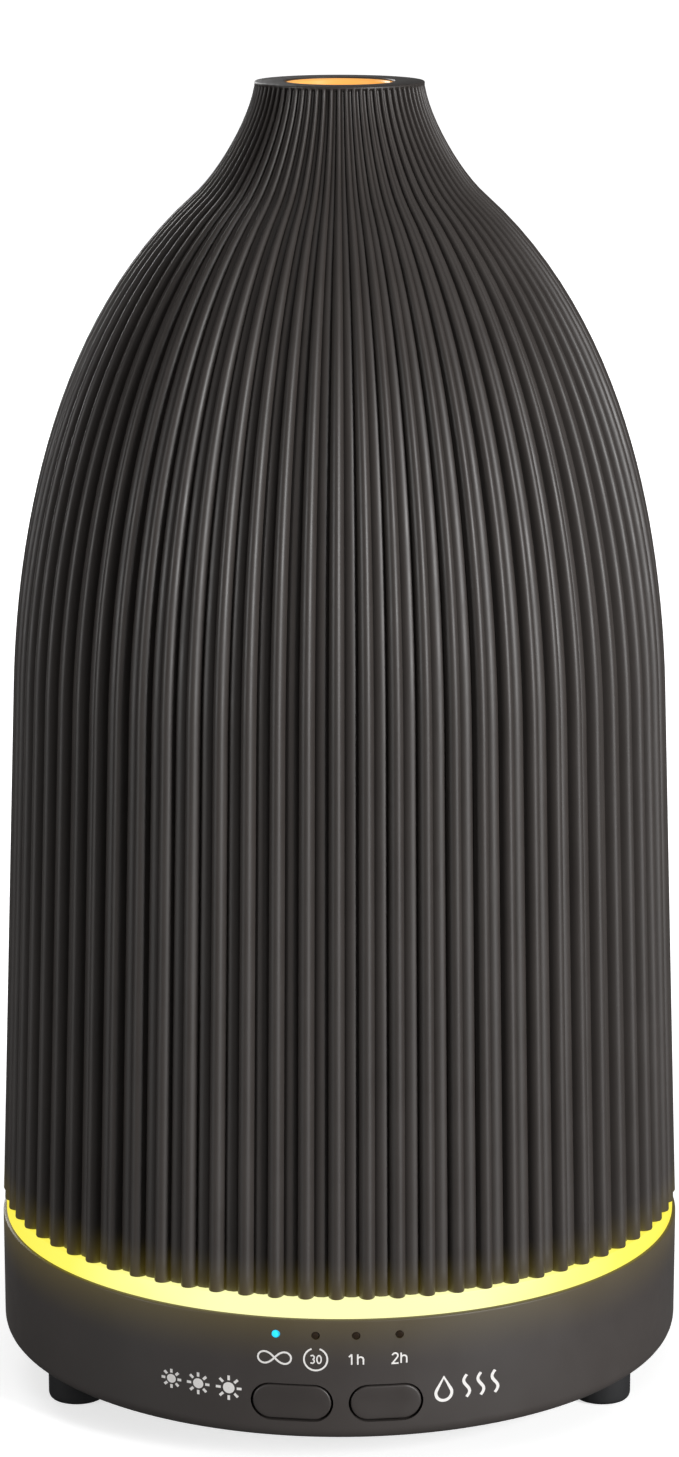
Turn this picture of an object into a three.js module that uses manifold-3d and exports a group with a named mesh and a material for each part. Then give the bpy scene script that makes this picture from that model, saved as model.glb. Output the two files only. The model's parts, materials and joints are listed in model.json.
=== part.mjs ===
// Ultrasonic essential oil diffuser. A ribbed, vase-shaped cover and a tank lid lift off
// a round base, which holds the water tank, fan, mist transducer, lights and boards.
// Millimetres, +Z up. The origin is the centre of the feet, on the surface they stand on.
// The two buttons face -Y and the power socket faces +Y.

import * as THREE from "three";
import { mergeVertices } from "three/addons/utils/BufferGeometryUtils.js";
import Module from "manifold-3d";

const wasm = await Module();
wasm.setup();

// ---- Driving dimensions ----

const GAP = 0.3; // between pieces that touch
const FOOT_HEIGHT = 4.7;
const BASE_RADIUS = 50.1;
const BASE_WALL = 2.1;
const SEAM = 22.5; // height of the base's upper edge
const BAND = 2.9; // height of the glowing ring between base and cover
const PLATE = 1.8; // thickness of the bottom plate
const COVER_RADIUS = 50; // over the ribs, at the lower edge
const SHOULDER_RADIUS = 47.2; // where the straight taper ends
const SHOULDER = 102.5; // height of the shoulder
const RIM_RADIUS = 12;
const TOP = 188.1; // overall height
const RIB_COUNT = 72;
const RIB_DEPTH = 1.1;
const RIB_PHASE = -0.5; // degrees that the front rib stands to the left of centre
const MOUTH_RADIUS = 6.9; // mist outlet
const TANK_RADIUS = 40;
const TANK_WALL = 2;
const TANK_FLOOR = 23.2; // underside of the tank
const TANK_TOP = 70;
const CHIMNEY_TOP = 160;
const BUTTON_HEIGHT = 10.2; // height of the buttons' centre line
const BUTTON_SIZE = 4.9;
const INDICATOR_HEIGHT = 20.15;
const WINDOW_RADIUS = 0.5;
const INDICATOR_X = [-8.8, -3.3, 2.3, 8.3];
const FAN_X = -23; // the fan and its air column stand left of the axis
const FAN_SIZE = 30;
const MIST_X = 15; // the transducer sits right of the axis
const JACK_HEIGHT = 14.2;

const COVER_BOTTOM = SEAM + BAND;
const PLATE_TOP = FOOT_HEIGHT + PLATE;
const INNER_RADIUS = BASE_RADIUS - BASE_WALL;
const FRONT_BOARD_Y = -40.4; // front face of the control board

// ---- Colours ----

const look = (color, roughness, metalness = 0) => ({ color, roughness, metalness });
const CHARCOAL = look(0x45403d, 0.62);
const CHARCOAL_BASE = look(0x433e3b, 0.55);
const DARK_PLASTIC = look(0x252424, 0.5);
const RUBBER = look(0x1c1c1d, 0.85);
const GLOW = look(0xfff08a, 0.35);
const WHITE = look(0xeeeeea, 0.35);
const SILICONE = look(0xd8d8d2, 0.7);
const STEEL = look(0xb4b6b8, 0.3, 0.9);
const BRASS = look(0xc9a24a, 0.35, 0.9);
const BOARD = look(0x1f5b36, 0.5);
const CERAMIC = look(0xf2efe6, 0.3);
const COPPER = look(0xa8622f, 0.4, 0.8);
const BLUE = look(0x24c4ee, 0.3);
const SMOKE = look(0x3a3d3e, 0.3);

// ---- Shapes. Every one is closed, with its axis along +Z unless its name says otherwise ----

const polar = (radius, degrees) => {
  const angle = THREE.MathUtils.degToRad(degrees);
  return [radius * Math.cos(angle), radius * Math.sin(angle)];
};

function box(x0, x1, y0, y1, z0, z1) {
  const geometry = new THREE.BoxGeometry(x1 - x0, y1 - y0, z1 - z0);
  return geometry.translate((x0 + x1) / 2, (y0 + y1) / 2, (z0 + z1) / 2);
}

// A solid of revolution. The outline runs anticlockwise, as [radius, height].
function turned(outline, segments = 20) {
  const points = outline.map(([radius, height]) => new THREE.Vector2(radius, height));
  const closed = points[0].x === 0 ? points : [...points, points[0].clone()];
  return new THREE.LatheGeometry(closed, segments).rotateX(Math.PI / 2);
}

function disc(radius, z0, z1, segments = 20) {
  return turned([[0, z0], [radius, z0], [radius, z1], [0, z1]], segments);
}

function tube(inner, outer, z0, z1, segments = 20) {
  return turned([[inner, z0], [outer, z0], [outer, z1], [inner, z1]], segments);
}

// Turns a shape that was made along +Z so that it points towards +Y.
const alongY = (geometry) => geometry.rotateX(-Math.PI / 2);

// A slab with rounded ends, long in X, standing on z = 0.
function stadium(width, height, depth, curveSegments = 10) {
  const end = height / 2;
  const straight = width / 2 - end;
  const shape = new THREE.Shape();
  shape.absarc(straight, 0, end, -Math.PI / 2, Math.PI / 2);
  shape.absarc(-straight, 0, end, Math.PI / 2, (3 * Math.PI) / 2);
  shape.closePath();
  return new THREE.ExtrudeGeometry(shape, { depth, bevelEnabled: false, curveSegments });
}

function hole(x, y, radius) {
  return new THREE.Path().absarc(x, y, radius, 0, 2 * Math.PI, true);
}

// ---- Joining and cutting ----

function toSolid(geometry) {
  const bare = geometry.clone();
  bare.deleteAttribute("normal");
  bare.deleteAttribute("uv");
  const merged = mergeVertices(bare, 1e-4);
  const index = merged.index.array;
  const triangles = [];
  for (let i = 0; i < index.length; i += 3) {
    const [a, b, c] = [index[i], index[i + 1], index[i + 2]];
    if (a !== b && b !== c && c !== a) triangles.push(a, b, c);
  }
  const mesh = new wasm.Mesh({
    numProp: 3,
    vertProperties: new Float32Array(merged.attributes.position.array),
    triVerts: new Uint32Array(triangles),
  });
  return new wasm.Manifold(mesh);
}

function toGeometry(solid) {
  const mesh = solid.getMesh();
  const geometry = new THREE.BufferGeometry();
  geometry.setAttribute("position", new THREE.BufferAttribute(mesh.vertProperties, 3));
  geometry.setIndex(new THREE.BufferAttribute(mesh.triVerts, 1));
  geometry.computeVertexNormals();
  return geometry;
}

function join(first, ...others) {
  return toGeometry(others.reduce((solid, other) => solid.add(toSolid(other)), toSolid(first)));
}

function cut(first, ...tools) {
  return toGeometry(tools.reduce((solid, tool) => solid.subtract(toSolid(tool)), toSolid(first)));
}

function overlap(first, second) {
  return toGeometry(toSolid(first).intersect(toSolid(second)));
}

// ---- Scene graph ----

const diffuser = new THREE.Group();

function group(x = 0, y = 0, z = 0) {
  const child = new THREE.Group();
  child.position.set(x, y, z);
  diffuser.add(child);
  return child;
}

function add(parent, name, geometry, finish) {
  const mesh = new THREE.Mesh(geometry, new THREE.MeshStandardMaterial(finish));
  mesh.name = name;
  parent.add(mesh);
  return mesh;
}

// ---- Cover: a straight taper, a round shoulder and a flared neck, ribbed all the way up ----

const COVER_WALL = 4.1; // from the ribs' crests to the smooth inside

// Evenly spaced points on the shoulder and neck curves, as [radius, height].
function shoulderAndNeck(inset, steps) {
  const at = (radius, height) => new THREE.Vector2(radius - inset, height);
  const shoulder = new THREE.CubicBezierCurve(
    at(SHOULDER_RADIUS, SHOULDER),
    at(46.5, 120.7),
    at(42.2, 153.1),
    at(21, 171.9),
  );
  const neck = new THREE.CubicBezierCurve(at(21, 171.9), at(16.6, 175.7), at(RIM_RADIUS, 184.5), at(RIM_RADIUS, TOP));
  const points = [...shoulder.getPoints(steps), ...neck.getPoints(4).slice(1)];
  return points.map((point) => [point.x, point.y]);
}

// How deep the groove is at four even steps round one rib, from its crest on.
const RIB_SECTION = [0, 0.75, 1, 0.75];

function ribbedCover() {
  const outline = [[0, COVER_BOTTOM], [COVER_RADIUS, COVER_BOTTOM], ...shoulderAndNeck(0, 8), [0, TOP]];
  const outer = turned(outline, RIB_SECTION.length * RIB_COUNT);
  const position = outer.attributes.position;
  const point = new THREE.Vector3();
  const rows = outline.length;
  for (let i = 0; i < position.count; i += 1) {
    const share = RIB_SECTION[Math.floor(i / rows) % RIB_SECTION.length];
    point.fromBufferAttribute(position, i);
    const radius = Math.hypot(point.x, point.y);
    if (radius > 0 && point.z < TOP - 1) {
      const depth = share * RIB_DEPTH * Math.min(1, radius / COVER_RADIUS + 0.1);
      const scale = (radius - depth) / radius;
      position.setXY(i, point.x * scale, point.y * scale);
    }
  }
  outer.rotateZ(THREE.MathUtils.degToRad(RIB_PHASE));
  const bore = MOUTH_RADIUS + 1.1;
  const inside = shoulderAndNeck(COVER_WALL, 5).filter(([radius]) => radius > bore + 1);
  const hollow = turned(
    [
      [0, COVER_BOTTOM - 5],
      [COVER_RADIUS - COVER_WALL, COVER_BOTTOM - 5],
      ...inside.map(([radius, height]) => [radius, height - 2]),
      [bore, inside.at(-1)[1] + 1],
      [bore, TOP + 5],
      [0, TOP + 5],
    ],
    36,
  );
  return cut(outer, hollow);
}

function mistNozzle() {
  const outer = MOUTH_RADIUS + 0.8;
  const rim = TOP - 0.2;
  return turned([
    [MOUTH_RADIUS, rim],
    [MOUTH_RADIUS, 171.5],
    [MOUTH_RADIUS + 3.2, 166.2],
    [MOUTH_RADIUS + 4, 166.8],
    [outer, 172],
    [outer, rim],
  ]);
}

const cover = group();
add(cover, "ribbed_cover", ribbedCover(), CHARCOAL);
add(cover, "mist_nozzle", mistNozzle(), WHITE);

// ---- Tank lid: a skirt round the tank's rim, a dome and a chimney ----

function tankLid() {
  const chimney = 9;
  const wall = 1.6;
  const skirt = TANK_RADIUS + 2;
  const rim = TANK_TOP + GAP;
  const dome = new THREE.CubicBezierCurve(
    new THREE.Vector2(skirt, rim + 2.2),
    new THREE.Vector2(skirt - 4, rim + 14),
    new THREE.Vector2(chimney + 3, rim + 11),
    new THREE.Vector2(chimney, rim + 29),
  );
  const outside = dome.getPoints(5).map((point) => [point.x, point.y]);
  const inside = outside.slice(1).reverse().map(([radius, height]) => [radius - wall, height - 1.1]);
  return turned(
    [
      [skirt - wall, rim - 6],
      [skirt, rim - 6],
      ...outside,
      [chimney, CHIMNEY_TOP],
      [chimney - wall, CHIMNEY_TOP],
      ...inside,
      [skirt - 4.5, rim],
      [skirt - wall, rim],
    ],
    36,
  );
}

const lid = group();
add(lid, "tank_lid", tankLid(), WHITE);

// ---- Base: shell, bottom plate, feet, screws and the glowing ring ----

const SCREW_RADIUS = 41; // circle of the four base screws
const PILLAR_TOP = TANK_FLOOR - GAP;
const LIGHT_BOARD = 21.4; // underside of the annular light board
const quarter = [0, 1, 2, 3].map((i) => 45 + 90 * i);

function buttonHole({ x, width }) {
  const clearance = 2 * GAP;
  return alongY(stadium(width + clearance, BUTTON_SIZE + clearance, 18)).translate(x, -60, BUTTON_HEIGHT);
}

function pillar(degrees) {
  const [x, y] = polar(SCREW_RADIUS, degrees);
  const post = disc(3.3, PLATE_TOP + GAP, PILLAR_TOP, 16).translate(x, y, 0);
  const web = box(SCREW_RADIUS + 2, INNER_RADIUS + 1, -1.2, 1.2, PLATE_TOP + GAP, LIGHT_BOARD - GAP);
  return [post, web.rotateZ(THREE.MathUtils.degToRad(degrees))];
}

function baseShell() {
  const ring = turned(
    [
      [INNER_RADIUS, FOOT_HEIGHT],
      [BASE_RADIUS - 1.7, FOOT_HEIGHT],
      [BASE_RADIUS - 0.5, FOOT_HEIGHT + 0.5],
      [BASE_RADIUS, FOOT_HEIGHT + 1.7],
      [BASE_RADIUS, SEAM],
      [INNER_RADIUS, SEAM],
    ],
    60,
  );
  const shell = join(ring, ...quarter.flatMap(pillar));
  const screwHoles = quarter.map((degrees) => disc(1.6, 0, 18, 12).translate(...polar(SCREW_RADIUS, degrees), 0));
  const lampHoles = INDICATOR_X.map((x) => alongY(disc(WINDOW_RADIUS + 0.1, -60, -42, 12)).translate(x, 0, INDICATOR_HEIGHT));
  const plugHole = alongY(disc(3.9, 44, 60, 20)).translate(0, 0, JACK_HEIGHT);
  return cut(shell, ...BUTTONS.map(buttonHole), ...screwHoles, ...lampHoles, plugHole);
}

// Intake slots fill a circle under the fan.
function intakeSlots() {
  const pitch = 3.6;
  const width = 2.2;
  return [-3, -2, -1, 0, 1, 2, 3].map((i) => {
    const length = 2 * Math.sqrt(13 ** 2 - (i * pitch) ** 2);
    const slot = stadium(length, width, PLATE_TOP + 1, 3).rotateZ(Math.PI / 2);
    return slot.translate(FAN_X + i * pitch, 0, 0);
  });
}

function basePlate() {
  const plate = disc(INNER_RADIUS - GAP, FOOT_HEIGHT, PLATE_TOP, 60);
  const centres = quarter.map((degrees) => polar(SCREW_RADIUS, degrees));
  const holes = centres.map(([x, y]) => disc(1.6, 0, PLATE_TOP + 1, 12).translate(x, y, 0));
  const sinks = centres.map(([x, y]) => disc(3, 0, FOOT_HEIGHT + 1, 12).translate(x, y, 0));
  return cut(plate, ...intakeSlots(), ...holes, ...sinks);
}

function foot() {
  const radius = 4.2;
  const top = FOOT_HEIGHT - GAP;
  return turned([[0, 0], [radius - 0.8, 0], [radius, 0.8], [radius, top - 0.5], [radius - 0.5, top], [0, top]], 20);
}

// A pan-head screw, head down.
function screw(head, shank, length) {
  return turned([[0, 0], [head, 0], [head, 0.7], [shank, 0.7], [shank, length], [0, length]], 10);
}

function lightRing() {
  const seat = SEAM + GAP;
  const step = INNER_RADIUS - 0.1;
  const lip = COVER_RADIUS - COVER_WALL - 0.5;
  return turned(
    [
      [lip - 1.5, seat + 0.6],
      [step, seat + 0.6],
      [step, seat],
      [BASE_RADIUS - 0.5, seat],
      [BASE_RADIUS - 0.5, COVER_BOTTOM - GAP],
      [lip, COVER_BOTTOM - GAP],
      [lip, COVER_BOTTOM + 3.5],
      [lip - 1.5, COVER_BOTTOM + 3.5],
    ],
    60,
  );
}

const BUTTONS = [
  { name: "light", x: -6.6, width: 10.9 },
  { name: "mist", x: 6.45, width: 9.8 },
];

const base = group();
add(base, "base_shell", baseShell(), CHARCOAL_BASE);
add(base, "base_plate", basePlate(), DARK_PLASTIC);
add(base, "light_ring", lightRing(), GLOW);
const FEET = { foot_front_left: 210, foot_front_right: 330, foot_rear: 90 };
for (const [name, degrees] of Object.entries(FEET)) {
  add(base, name, foot(), RUBBER).position.set(...polar(44, degrees), 0);
}
quarter.forEach((degrees, i) => {
  const [x, y] = polar(SCREW_RADIUS, degrees);
  add(base, `base_screw_${i + 1}`, screw(2.6, 1.2, 11), STEEL).position.set(x, y, FOOT_HEIGHT + 0.1);
});

// ---- Water tank, with the fan's air column and the hole over the transducer ----

const BOSS_RADIUS = 12.2; // circle of the retainer's screws
const third = [0, 1, 2].map((i) => 60 + 120 * i);

function waterTank() {
  const floor = TANK_FLOOR + 2;
  const flange = TANK_RADIUS + 3.6;
  const cup = turned(
    [
      [0, TANK_FLOOR],
      [flange, TANK_FLOOR],
      [flange, TANK_FLOOR + 1.4],
      [TANK_RADIUS, TANK_FLOOR + 1.4],
      [TANK_RADIUS, TANK_TOP],
      [TANK_RADIUS - TANK_WALL, TANK_TOP],
      [TANK_RADIUS - TANK_WALL, floor],
      [0, floor],
    ],
    40,
  );
  const column = disc(8, floor - 1, 62).translate(FAN_X, 0, 0);
  const bosses = third.map((degrees) => {
    const [x, y] = polar(BOSS_RADIUS, degrees);
    return disc(2.3, TANK_FLOOR - 2.6, floor - 1, 12).translate(MIST_X + x, y, 0);
  });
  const pilots = third.map((degrees) => {
    const [x, y] = polar(BOSS_RADIUS, degrees);
    return disc(1.2, TANK_FLOOR - 5, TANK_FLOOR, 12).translate(MIST_X + x, y, 0);
  });
  const airway = disc(6, 0, TANK_TOP).translate(FAN_X, 0, 0);
  const well = disc(6, 0, TANK_TOP).translate(MIST_X, 0, 0);
  return cut(join(cup, column, ...bosses), airway, well, ...pilots);
}

add(base, "water_tank", waterTank(), WHITE);

// ---- Transducer stack, measured down from the tank's underside ----

const stack = group(MIST_X, 0, TANK_FLOOR);

function transducerGasket() {
  return turned([
    [6.4, -2.6],
    [9.4, -2.6],
    [9.4, -GAP],
    [6.4, -GAP],
    [6.4, -1],
    [8.3, -1],
    [8.3, -1.9],
    [6.4, -1.9],
  ]);
}

function retainer() {
  const plate = tube(5.6, 14.8, -4.4, -2.9, 24);
  const holes = third.map((degrees) => disc(1.2, -5, -2, 8).translate(...polar(BOSS_RADIUS, degrees), 0));
  return cut(plate, ...holes);
}

add(stack, "transducer_gasket", transducerGasket(), SILICONE);
add(stack, "transducer_disc", disc(8, -1.75, -1.15), STEEL);
add(stack, "transducer_retainer", retainer(), STEEL);
third.forEach((degrees, i) => {
  const [x, y] = polar(BOSS_RADIUS, degrees);
  add(stack, `retainer_screw_${i + 1}`, screw(1.9, 0.9, 5), STEEL).position.set(x, y, -5.4);
});

// ---- Fan: frame, bearing and stator stand still, impeller and shaft spin ----

const FAN_BOTTOM = PLATE_TOP + GAP;
const FAN_HEIGHT = 8;
const fan = group(FAN_X, 0, FAN_BOTTOM);
const rotor = group(FAN_X, 0, FAN_BOTTOM);

function fanFrame() {
  const half = FAN_SIZE / 2;
  const round = 3;
  const shape = new THREE.Shape();
  shape.absarc(half - round, half - round, round, 0, Math.PI / 2);
  shape.absarc(round - half, half - round, round, Math.PI / 2, Math.PI);
  shape.absarc(round - half, round - half, round, Math.PI, 1.5 * Math.PI);
  shape.absarc(half - round, round - half, round, 1.5 * Math.PI, 2 * Math.PI);
  shape.closePath();
  shape.holes.push(hole(0, 0, 14));
  for (const [sx, sy] of [[1, 1], [-1, 1], [-1, -1], [1, -1]]) {
    shape.holes.push(hole(12 * sx, 12 * sy, 1.4));
  }
  const frame = new THREE.ExtrudeGeometry(shape, { depth: FAN_HEIGHT, bevelEnabled: false, curveSegments: 8 });
  const arms = [0, 1, 2].map((i) => box(6, 14.5, -1, 1, 0, 1).rotateZ((i * 2 * Math.PI) / 3));
  return join(frame, disc(8, 0, 1), ...arms);
}

function fanImpeller() {
  const hub = turned([[0, 6.8], [7.6, 6.8], [7.6, 1.5], [8.3, 1.5], [8.3, 7.6], [0, 7.6]]);
  const blades = [0, 1, 2, 3, 4, 5, 6].map((i) => {
    const blade = box(7.9, 12.8, -0.4, 0.4, -2.8, 2.8).rotateX(THREE.MathUtils.degToRad(38));
    return blade.translate(0, 0, 4.6).rotateZ((i * 2 * Math.PI) / 7);
  });
  return join(hub, ...blades);
}

add(fan, "fan_frame", fanFrame(), DARK_PLASTIC);
add(fan, "fan_bearing", tube(1.2, 2.4, 1 + GAP, 6, 16), BRASS);
add(fan, "fan_stator", tube(2.7, 7, 1.8, 5.2, 18), COPPER);
add(rotor, "fan_impeller", fanImpeller(), DARK_PLASTIC);
add(rotor, "fan_shaft", disc(1.1, 1.6, 6.5, 16), STEEL);

function airDuct() {
  const low = FAN_BOTTOM + FAN_HEIGHT + GAP;
  const high = TANK_FLOOR - GAP;
  return turned([
    [12.8, low],
    [14.2, low],
    [14.2, low + 1.4],
    [9.4, high - 1.4],
    [9.4, high],
    [8, high],
    [8, high - 2],
    [12.8, low + 0.9],
  ]);
}

add(base, "air_duct", airDuct().translate(FAN_X, 0, 0), SILICONE);

// ---- Front controls: buttons, switches, indicator lamps and their board ----

const FLANGE_Y = -45.7; // front of the flange that keeps a button in
const TRAVEL = 0.6;

function buttonCap({ x, width }) {
  const cap = alongY(stadium(width, BUTTON_SIZE, 10)).translate(x, FLANGE_Y + 0.1 - 10, BUTTON_HEIGHT);
  const face = overlap(cap, disc(BASE_RADIUS - 0.1, 0, SEAM, 96));
  const flange = alongY(stadium(width + 1.4, BUTTON_SIZE + 1.4, 1)).translate(x, FLANGE_Y, BUTTON_HEIGHT);
  const stem = alongY(disc(1.6, FLANGE_Y + 0.9, FLANGE_Y + 1.6, 12)).translate(x, 0, BUTTON_HEIGHT);
  return join(face, flange, stem);
}

function switchBody() {
  const half = 3;
  const shape = new THREE.Shape();
  shape.moveTo(-half, -half);
  shape.lineTo(half, -half);
  shape.lineTo(half, half);
  shape.lineTo(-half, half);
  shape.closePath();
  shape.holes.push(hole(0, 0, 1.8));
  const body = new THREE.ExtrudeGeometry(shape, { depth: 2.5, bevelEnabled: false, curveSegments: 4 });
  return alongY(body).translate(0, FRONT_BOARD_Y - GAP - 2.5, 0);
}

function lightPipe(x) {
  const front = -Math.sqrt((BASE_RADIUS - 0.1) ** 2 - x ** 2);
  const shank = WINDOW_RADIUS + 0.3;
  const step = -46.6;
  const back = -42.2;
  const outline = [[0, front], [WINDOW_RADIUS, front], [WINDOW_RADIUS, step], [shank, step], [shank, back], [0, back]];
  return alongY(turned(outline, 12));
}

const front = group();
add(front, "control_board", box(-22, 22, FRONT_BOARD_Y, FRONT_BOARD_Y + 1.6, 6.9, 21), BOARD);
for (const button of BUTTONS) {
  const buttonGroup = group();
  const plungerBack = FLANGE_Y + 1.9;
  const plunger = alongY(disc(1.4, plungerBack, plungerBack + 1.5, 12));
  add(buttonGroup, `${button.name}_button`, buttonCap(button), CHARCOAL_BASE);
  add(buttonGroup, `${button.name}_plunger`, plunger, DARK_PLASTIC).position.set(button.x, 0, BUTTON_HEIGHT);
  add(front, `${button.name}_switch`, switchBody(), DARK_PLASTIC).position.set(button.x, 0, BUTTON_HEIGHT);
}
INDICATOR_X.forEach((x, i) => {
  const lamp = box(-0.8, 0.8, FRONT_BOARD_Y - 1.2, FRONT_BOARD_Y - GAP, -0.6, 0.6);
  add(front, `light_pipe_${i + 1}`, lightPipe(x), i === 0 ? BLUE : SMOKE).position.set(x, 0, INDICATOR_HEIGHT);
  add(front, `indicator_lamp_${i + 1}`, lamp, WHITE).position.set(x, 0, INDICATOR_HEIGHT);
});

// ---- Ring lights under the glowing ring ----

const LAMP_RING = 46.05;
add(base, "light_board", tube(44.5, 47.6, LIGHT_BOARD, LIGHT_BOARD + 0.8, 48), BOARD);
for (let i = 0; i < 6; i += 1) {
  const lamp = box(-1.4, 1.4, -1.5, 1.5, LIGHT_BOARD + 1.1, LIGHT_BOARD + 1.7);
  const mesh = add(base, `ring_lamp_${i + 1}`, lamp, GLOW);
  const degrees = 30 + 60 * i;
  mesh.position.set(...polar(LAMP_RING, degrees), 0);
  mesh.rotation.z = THREE.MathUtils.degToRad(degrees);
}

// ---- Driver board at the back, with its components, power socket and leads ----

const DRIVER = 6.9; // underside of the driver board
const PARTS = DRIVER + 1.4 + GAP; // what the components stand on
const rear = group();

function heatSink() {
  const plate = box(13, 23, 18, 27, PARTS, PARTS + 2);
  const fins = [0, 1, 2, 3].map((i) => box(13 + 3 * i, 14 + 3 * i, 18, 27, PARTS + 1, PARTS + 7.4));
  return join(plate, ...fins);
}

function powerSocket() {
  const body = box(-4.5, 4.5, 33.5, INNER_RADIUS - 0.5, PARTS, PARTS + 10.8);
  return cut(body, alongY(disc(3.15, 38, 60, 20)).translate(0, 0, JACK_HEIGHT));
}

// A lead along a smooth curve through its points.
function lead(points, radius) {
  const section = new THREE.Shape().absarc(0, 0, radius, 0, 2 * Math.PI);
  const path = new THREE.CatmullRomCurve3(points.map(([x, y, z]) => new THREE.Vector3(x, y, z)));
  return new THREE.ExtrudeGeometry(section, { steps: 10, extrudePath: path, curveSegments: 4, bevelEnabled: false });
}

add(rear, "driver_board", box(-6, 24, 17, 39, DRIVER, DRIVER + 1.4), BOARD);
add(rear, "heat_sink", heatSink(), STEEL);
add(rear, "inductor", tube(1.6, 4.2, PARTS, PARTS + 6, 18).translate(1.5, 22.5, 0), COPPER);
add(rear, "capacitor", disc(3, PARTS, PARTS + 10, 18).translate(18, 33, 0), DARK_PLASTIC);
add(rear, "control_chip", box(7.2, 12, 28, 35, PARTS, PARTS + 1.5), DARK_PLASTIC);
add(rear, "power_socket", powerSocket(), DARK_PLASTIC);
add(rear, "power_pin", alongY(disc(1.05, 38.3, 45, 12)).translate(0, 0, JACK_HEIGHT), BRASS);
add(rear, "transducer_lead", lead([[15, 0, 21.1], [15, 1, 16], [12, 10, 13], [10, 19, 9.9]], 0.9), SILICONE);
add(rear, "fan_lead", lead([[-6.6, 4, 10.5], [-4, 8, 10], [-3, 13, 11], [-3, 19, 9.9]], 0.9), SILICONE);
add(rear, "board_lead", lead([[20, -38.3, 12], [25, -26, 10], [27, 0, 9], [24, 11, 10], [21, 16.4, 9.9]], 0.9), SILICONE);

export default diffuser;
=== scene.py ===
"""The looks of an ultrasonic essential oil diffuser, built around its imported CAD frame.

Shapes are worked out in millimetres, in the frame's own axes: +Z up, the buttons facing -Y.
"""

import json
import math

import bmesh
import bpy
from mathutils import Matrix, Vector


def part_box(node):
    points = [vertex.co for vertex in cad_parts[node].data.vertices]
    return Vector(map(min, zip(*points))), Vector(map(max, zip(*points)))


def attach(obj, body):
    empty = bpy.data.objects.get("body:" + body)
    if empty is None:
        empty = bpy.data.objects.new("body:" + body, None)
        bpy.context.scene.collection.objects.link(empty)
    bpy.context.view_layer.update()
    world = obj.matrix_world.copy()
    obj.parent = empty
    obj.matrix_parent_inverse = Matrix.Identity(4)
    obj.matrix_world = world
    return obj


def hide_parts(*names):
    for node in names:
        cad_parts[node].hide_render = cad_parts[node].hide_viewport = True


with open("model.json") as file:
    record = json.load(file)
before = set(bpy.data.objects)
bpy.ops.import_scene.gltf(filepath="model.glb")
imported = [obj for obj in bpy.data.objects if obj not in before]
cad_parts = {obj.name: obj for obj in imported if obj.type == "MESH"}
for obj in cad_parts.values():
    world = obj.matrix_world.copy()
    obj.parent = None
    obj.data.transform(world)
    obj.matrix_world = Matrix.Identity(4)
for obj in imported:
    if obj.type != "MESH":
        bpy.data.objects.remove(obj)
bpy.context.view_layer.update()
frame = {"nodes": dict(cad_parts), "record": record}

MM = 0.001


# ---- Measures read from the frame ----


def box_mm(node):
    """Lowest and highest corner of a CAD node, in millimetres."""
    low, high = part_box(node)
    return low / MM, high / MM


def centre_mm(node):
    low, high = box_mm(node)
    return (low + high) / 2


SHELL_LOW, SHELL_HIGH = box_mm("base_shell")
COVER_LOW, COVER_HIGH = box_mm("ribbed_cover")
LID_LOW, LID_HIGH = box_mm("tank_lid")
TANK_LOW, TANK_HIGH = box_mm("water_tank")
PLATE_LOW, PLATE_HIGH = box_mm("base_plate")
RING_LOW, RING_HIGH = box_mm("light_ring")
BASE_RADIUS = SHELL_HIGH.x
BASE_BOTTOM = SHELL_LOW.z
SEAM = SHELL_HIGH.z - 0.5  # the glowing ring shows a little taller than its seat
COVER_BOTTOM = COVER_LOW.z - 0.2
TOP = COVER_HIGH.z
NOZZLE_TOP = box_mm("mist_nozzle")[1].z
GAP = 0.3  # the clearance that the CAD pieces keep

# Proportions of the moulded shells.
BASE_WALL = 2.1
COVER_RADIUS = 50.0
COVER_WALL = 4.1
RIM_RADIUS = 12.0
MOUTH_RADIUS = 6.9
SHOULDER_HEIGHT = 102.5
SHOULDER_RADIUS = 47.2
RIB_COUNT = 72
RIB_DEPTH = 1.1
RIB_PHASE = -0.5  # degrees, so the front rib stands a little left of centre
INNER_RADIUS = BASE_RADIUS - BASE_WALL


# ---- Mesh tools ----


def set_sharp_edges(mesh, degrees):
    """Shades a mesh smooth, apart from edges that turn more than this."""
    work = bmesh.new()
    work.from_mesh(mesh)
    for face in work.faces:
        face.smooth = True
    for edge in work.edges:
        edge.smooth = edge.calc_face_angle(0.0) < math.radians(degrees)
    work.to_mesh(mesh)
    work.free()


def make_object(name, vertices, faces):
    """A mesh object from vertices in millimetres."""
    mesh = bpy.data.meshes.new(name)
    mesh.from_pydata([Vector(v) * MM for v in vertices], [], faces)
    mesh.update()
    piece = bpy.data.objects.new(name, mesh)
    bpy.context.scene.collection.objects.link(piece)
    return piece


def face_outwards(piece):
    """Turns all faces of a closed mesh outwards."""
    work = bmesh.new()
    work.from_mesh(piece.data)
    bmesh.ops.recalc_face_normals(work, faces=work.faces)
    work.to_mesh(piece.data)
    work.free()
    return piece


def finish_piece(piece, body, material, nodes=(), sharp=32):
    """Gives a piece its material, shading and body, and hides the CAD nodes that it stands for."""
    set_sharp_edges(piece.data, sharp)
    piece.data.materials.clear()
    piece.data.materials.append(material)
    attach(piece, body)
    if nodes:
        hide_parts(*nodes)


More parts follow.
